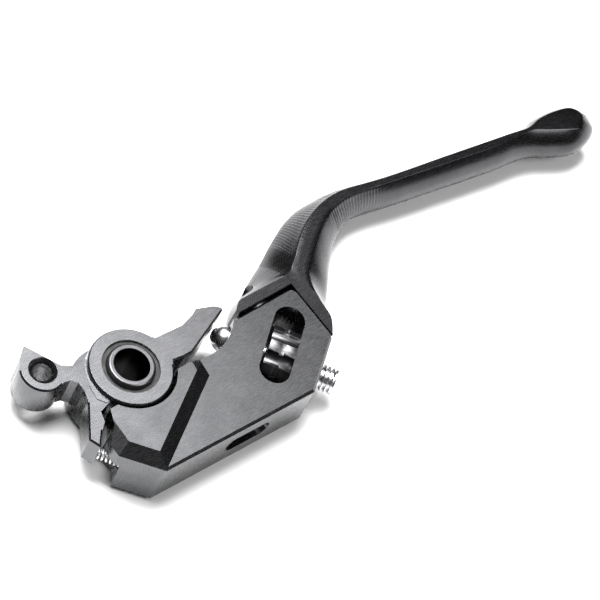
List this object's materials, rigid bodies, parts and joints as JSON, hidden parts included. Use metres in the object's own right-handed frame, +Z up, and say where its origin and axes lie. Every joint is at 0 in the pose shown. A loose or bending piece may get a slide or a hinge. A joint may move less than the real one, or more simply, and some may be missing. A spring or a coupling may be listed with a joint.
{
  "type": "motorcycle clutch lever",
  "caption": "Folding clutch lever for a left handlebar control, with a sprung hook arm for the pushrod and a thumbwheel that sets the reach.",
  "frame": {"origin": "pivot axis at the underside of the lever body", "axes": "+X out along the lever to the finger blade's tip, -Y forward away from the rider, +Z up along the pivot bolt"},
  "size_m": [0.1704, 0.0417, 0.0161],
  "materials": {
    "bush_steel": "dark hardened and ground steel",
    "seal_rubber": "matt black rubber",
    "ring_black": "satin black anodised",
    "bronze": "oil-filled bronze",
    "pin_steel": "ground steel pins, balls and plugs",
    "arm_black": "satin black anodised",
    "spring_steel": "bright spring steel",
    "body_black": "fine-milled black anodised",
    "wheel_dark": "polished dark anodised",
    "screw_steel": "zinc plated steel screws",
    "spindle_steel": "bright stainless steel",
    "blade_black": "satin black anodised"
  },
  "bodies": {
    "pivot": {"pivot_bush": "bush_steel"},
    "actuator": {"stop_ring": "ring_black", "dust_seal": "seal_rubber", "ring_bearing_upper": "bronze", "ring_bearing_lower": "bronze", "drive_dowel": "pin_steel", "push_arm": "arm_black", "preload_spring": "spring_steel"},
    "lever": {"lever_body": "body_black", "hub_bearing": "bronze", "thrust_washer": "bronze", "detent_ball": "pin_steel", "detent_spring": "spring_steel", "detent_plug": "pin_steel", "spindle_key": "pin_steel", "spindle_seal": "seal_rubber", "blade_buffer": "seal_rubber", "fold_pivot_screw": "bush_steel"},
    "wheel": {"adjuster_wheel": "wheel_dark", "wheel_grub_screw": "screw_steel"},
    "spindle": {"adjuster_spindle": "spindle_steel"},
    "blade": {"finger_blade": "blade_black", "fold_washer": "bush_steel", "fold_spring": "spring_steel"}
  },
  "joints": [
    {"name": "lever_pull", "type": "hinge", "parent": "pivot", "child": "actuator", "pos_m": [0, 0, 0], "axis": [0, 0, 1], "range_deg": [0, 20]},
    {"name": "reach_adjust", "type": "hinge", "parent": "actuator", "child": "lever", "pos_m": [0, 0, 0], "axis": [0, 0, 1], "range_deg": [0, 4.64]},
    {"name": "adjuster_turn", "type": "hinge", "parent": "lever", "child": "wheel", "pos_m": [0.03551, -0.01229, 0.0061], "axis": [-0.5878, 0.809, 0], "range_deg": [0, 722]},
    {"name": "spindle_travel", "type": "slide", "parent": "lever", "child": "spindle", "axis": [0.5878, -0.809, 0], "range_m": [0, 0.00201]},
    {"name": "blade_fold", "type": "hinge", "parent": "lever", "child": "blade", "pos_m": [0.0385, -0.0011, 0.0076], "axis": [0, -1, 0], "range_deg": [0, 80]}
  ],
  "couplings": [
    {"joint": "adjuster_turn", "follows": "reach_adjust", "ratio": 155.17},
    {"joint": "spindle_travel", "follows": "reach_adjust", "m_per_rad": 0.024696}
  ]
}
